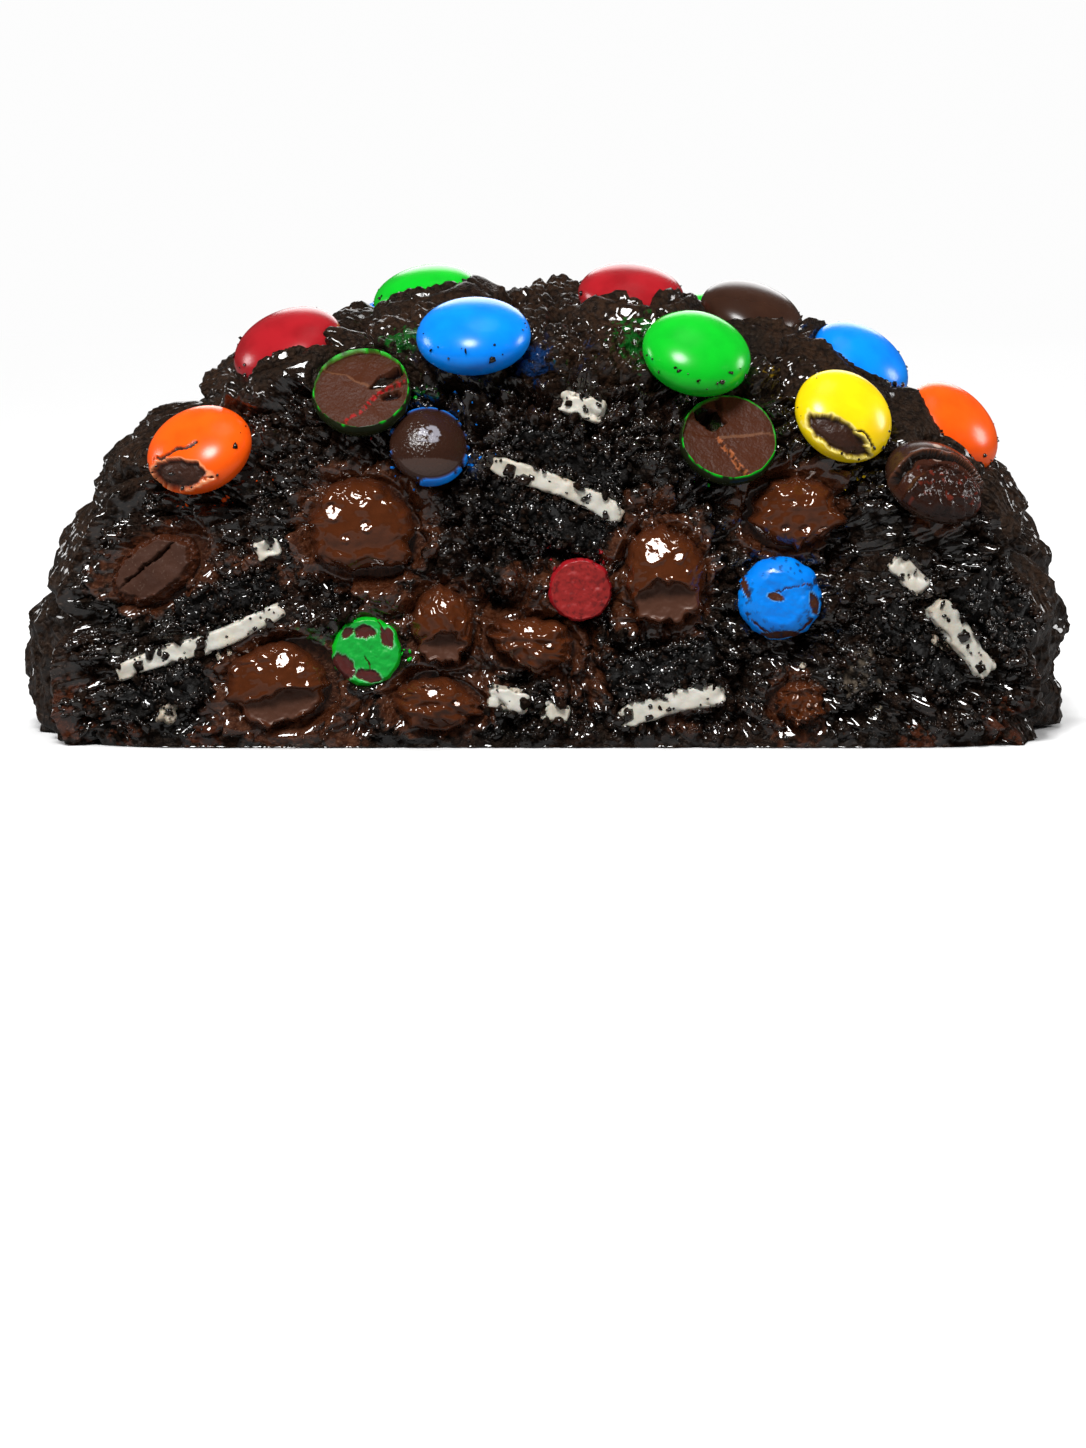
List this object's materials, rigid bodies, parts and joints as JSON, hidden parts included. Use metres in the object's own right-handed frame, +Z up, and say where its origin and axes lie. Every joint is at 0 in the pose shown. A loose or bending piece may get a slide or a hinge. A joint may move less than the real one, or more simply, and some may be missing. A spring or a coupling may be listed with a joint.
{
  "type": "giant cookie",
  "caption": "Half of a thick domed chocolate cookie with a flat base. The broken face shows melted chocolate, cream biscuit pieces and sunken sweets, and sugar-shelled sweets stud the crust.",
  "frame": {"origin": "on the flat base, midway along the broken face and 20 mm behind it", "axes": "+X along the broken face to the viewer's right, -Y out of the broken face, +Z up from the base"},
  "size_m": [0.1233, 0.0779, 0.055],
  "materials": {
    "dough": "very dark baked chocolate dough, satin and a little oily on the crust, rough and crumbly where broken",
    "wafer": "black biscuit, matte and granular",
    "cream": "off-white sugar cream with black crumbs",
    "melted_chocolate": "melted milk chocolate, glossy",
    "chocolate": "broken chocolate, matte",
    "red_shell": "polished sugar shell",
    "green_shell": "polished sugar shell",
    "blue_shell": "polished sugar shell",
    "orange_shell": "polished sugar shell",
    "yellow_shell": "polished sugar shell",
    "brown_shell": "polished sugar shell"
  },
  "bodies": {
    "root": {"cookie_dough": "dough", "sweet_red_left": "red_shell", "sweet_red_top": "red_shell", "sweet_green_top": "green_shell", "sweet_green_back": "green_shell", "sweet_blue_top": "blue_shell", "sweet_blue_right": "blue_shell", "sweet_orange_left": "orange_shell", "sweet_orange_right": "orange_shell", "sweet_yellow": "yellow_shell", "sweet_brown_top": "brown_shell", "sweet_behind_1": "blue_shell", "sweet_behind_2": "yellow_shell", "sweet_behind_3": "green_shell", "sweet_behind_4": "red_shell", "sweet_behind_5": "orange_shell", "sweet_behind_6": "brown_shell", "sweet_behind_7": "blue_shell", "sweet_behind_8": "yellow_shell", "sweet_behind_9": "green_shell", "sweet_behind_10": "red_shell", "torn_sweet_left": "chocolate", "torn_sweet_right": "chocolate", "peeled_sweet": "chocolate", "cracked_sweet": "brown_shell", "sunk_sweet_red": "red_shell", "sunk_sweet_blue": "blue_shell", "sunk_sweet_green": "green_shell", "melt_upper_left": "melted_chocolate", "melt_centre": "melted_chocolate", "melt_upper_right": "melted_chocolate", "melt_lower_left": "melted_chocolate", "melt_middle": "melted_chocolate", "melt_low": "melted_chocolate", "chunk_left": "chocolate", "chip_middle": "chocolate", "chip_right": "chocolate", "cream_centre": "cream", "cream_left": "cream", "cream_right_low": "cream", "cream_right_high": "cream", "cream_low": "cream", "cream_bit_top": "cream", "cream_bit_low": "cream", "cream_bit_foot": "cream", "cream_bit_left": "cream", "wafer_centre_upper": "wafer", "wafer_centre_lower": "wafer", "wafer_left_upper": "wafer", "wafer_left_lower": "wafer", "wafer_right_inner": "wafer", "wafer_right_outer": "wafer", "wafer_low_upper": "wafer", "wafer_bit": "wafer"}
  },
  "joints": []
}
